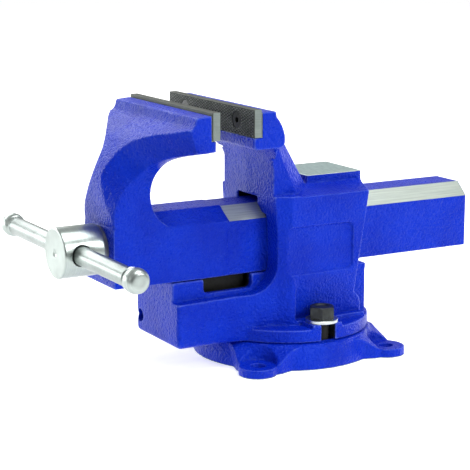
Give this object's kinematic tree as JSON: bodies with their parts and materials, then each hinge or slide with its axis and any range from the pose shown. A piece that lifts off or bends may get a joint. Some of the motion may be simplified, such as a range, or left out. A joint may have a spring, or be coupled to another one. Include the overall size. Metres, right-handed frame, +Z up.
{
  "type": "bench vise",
  "caption": "Swivel-base bench vise with serrated steel jaws, a square slide beam, a small anvil, a lead screw and a sliding tommy-bar handle.",
  "frame": {"origin": "swivel axis at the bench plane, the centre of the bench bolt circle", "axes": "+X along the slide from the handle towards the rear, +Z up from the bench, +Y completes the right-handed frame"},
  "size_m": [0.3382, 0.2235, 0.1915],
  "materials": {
    "enamel": "glossy deep blue enamel over grey iron casting, sliding and anvil faces machined bare",
    "jaw_steel": "hardened ground steel, serrated grip face",
    "turned_steel": "turned bright steel, satin",
    "bare_steel": "plain machined steel, oiled",
    "spring_steel": "oil-tempered spring steel",
    "nut_iron": "grey cast iron, greased",
    "black_oxide": "black oxide, oiled",
    "zinc": "bright zinc plate"
  },
  "bodies": {
    "base": {"swivel_base": "enamel"},
    "body": {"stationary_body": "enamel", "rear_jaw_plate": "jaw_steel", "rear_jaw_screws": "black_oxide", "spindle_nut": "nut_iron", "nut_bolts": "black_oxide", "lock_washer_near": "zinc", "lock_washer_far": "zinc", "tee_nut_near": "bare_steel", "tee_nut_far": "bare_steel"},
    "jaw": {"moving_jaw": "enamel", "front_jaw_plate": "jaw_steel", "front_jaw_screws": "black_oxide", "thrust_washer": "bare_steel", "spring_washer": "bare_steel"},
    "screw": {"spindle": "turned_steel", "thrust_spring": "spring_steel", "thrust_collar": "bare_steel", "collar_pin": "spring_steel"},
    "handle": {"handle_bar": "turned_steel", "handle_ball_near": "turned_steel", "handle_ball_far": "turned_steel"},
    "near_lock": {"lock_bolt_near": "black_oxide"},
    "far_lock": {"lock_bolt_far": "black_oxide"}
  },
  "joints": [
    {"name": "swivel", "type": "hinge", "parent": "base", "child": "body", "pos_m": [0, 0, 0.019], "axis": [0, 0, 1], "continuous": true},
    {"name": "jaw_slide", "type": "slide", "parent": "body", "child": "jaw", "axis": [1, 0, 0], "range_m": [-0.1011, 0.0259]},
    {"name": "spindle_turn", "type": "hinge", "parent": "jaw", "child": "screw", "pos_m": [-0.153, 0, 0.0922], "axis": [1, 0, 0], "range_deg": [-7272, 1857.6]},
    {"name": "handle_slide", "type": "slide", "parent": "screw", "child": "handle", "axis": [0, 1, 0], "range_m": [-0.0795, 0.072]},
    {"name": "near_lock_turn", "type": "hinge", "parent": "body", "child": "near_lock", "pos_m": [0, -0.053, 0.0339], "axis": [0, 0, 1], "continuous": true},
    {"name": "far_lock_turn", "type": "hinge", "parent": "body", "child": "far_lock", "pos_m": [0, 0.053, 0.0339], "axis": [0, 0, 1], "continuous": true}
  ],
  "couplings": [
    {"joint": "jaw_slide", "follows": "spindle_turn", "m_per_rad": 0.00079577}
  ]
}
